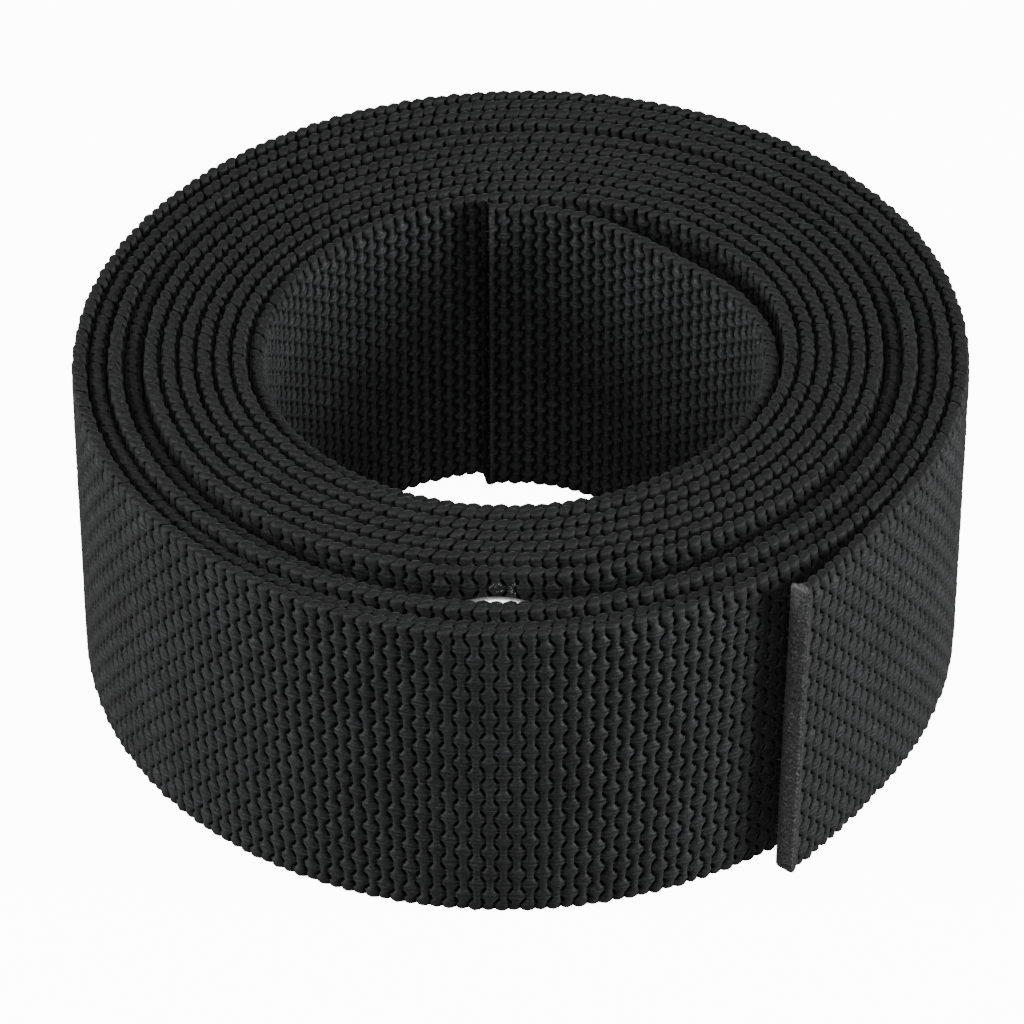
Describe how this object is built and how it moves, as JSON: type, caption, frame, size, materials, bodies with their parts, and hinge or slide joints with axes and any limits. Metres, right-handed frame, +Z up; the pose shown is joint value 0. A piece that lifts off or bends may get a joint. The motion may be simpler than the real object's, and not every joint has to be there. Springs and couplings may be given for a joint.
{
  "type": "dive weight belt strap",
  "caption": "Black nylon dive weight belt webbing rolled on its edge into a flat coil, with sealed ends that lift and a steel eyelet clinched through its middle.",
  "frame": {"origin": "on the ground, under the middle of the coil's bounding box", "axes": "+Z up along the coil's axis and across the strap's width, -Y the front where the pocket for the eyelet opens, +X the side that the outer cut end lies on"},
  "size_m": [0.1244, 0.129, 0.05],
  "materials": {
    "black_nylon": "coarse plain-woven webbing, matt with a slight sheen",
    "stainless": "bright polished"
  },
  "bodies": {
    "coil": {"webbing_coil": "black_nylon", "eyelet_barrel": "stainless", "eyelet_washer": "stainless"},
    "tail_root": {"tail_root": "black_nylon"},
    "tail_middle": {"tail_middle": "black_nylon"},
    "tail_tip": {"tail_tip": "black_nylon"},
    "core_end_root": {"core_end_root": "black_nylon"},
    "core_end_tip": {"core_end_tip": "black_nylon"}
  },
  "joints": [
    {"name": "tail_root_lift", "type": "hinge", "parent": "coil", "child": "tail_root", "pos_m": [0.06113, 0.0048, 0.025], "axis": [0, 0, 1], "range_deg": [0, 60], "stiffness_Nm_per_rad": 0.02},
    {"name": "tail_middle_lift", "type": "hinge", "parent": "tail_root", "child": "tail_middle", "pos_m": [0.05924, -0.01447, 0.025], "axis": [0, 0, 1], "range_deg": [0, 60], "stiffness_Nm_per_rad": 0.02},
    {"name": "tail_tip_lift", "type": "hinge", "parent": "tail_middle", "child": "tail_tip", "pos_m": [0.05203, -0.0324, 0.025], "axis": [0, 0, 1], "range_deg": [0, 60], "stiffness_Nm_per_rad": 0.02},
    {"name": "core_end_bend", "type": "hinge", "parent": "coil", "child": "core_end_root", "pos_m": [0.03441, 0.00269, 0.025], "axis": [0, 0, 1], "range_deg": [0, 45], "stiffness_Nm_per_rad": 0.02},
    {"name": "core_tip_bend", "type": "hinge", "parent": "core_end_root", "child": "core_end_tip", "pos_m": [0.01969, 0.02382, 0.025], "axis": [0, 0, 1], "range_deg": [0, 45], "stiffness_Nm_per_rad": 0.02}
  ]
}
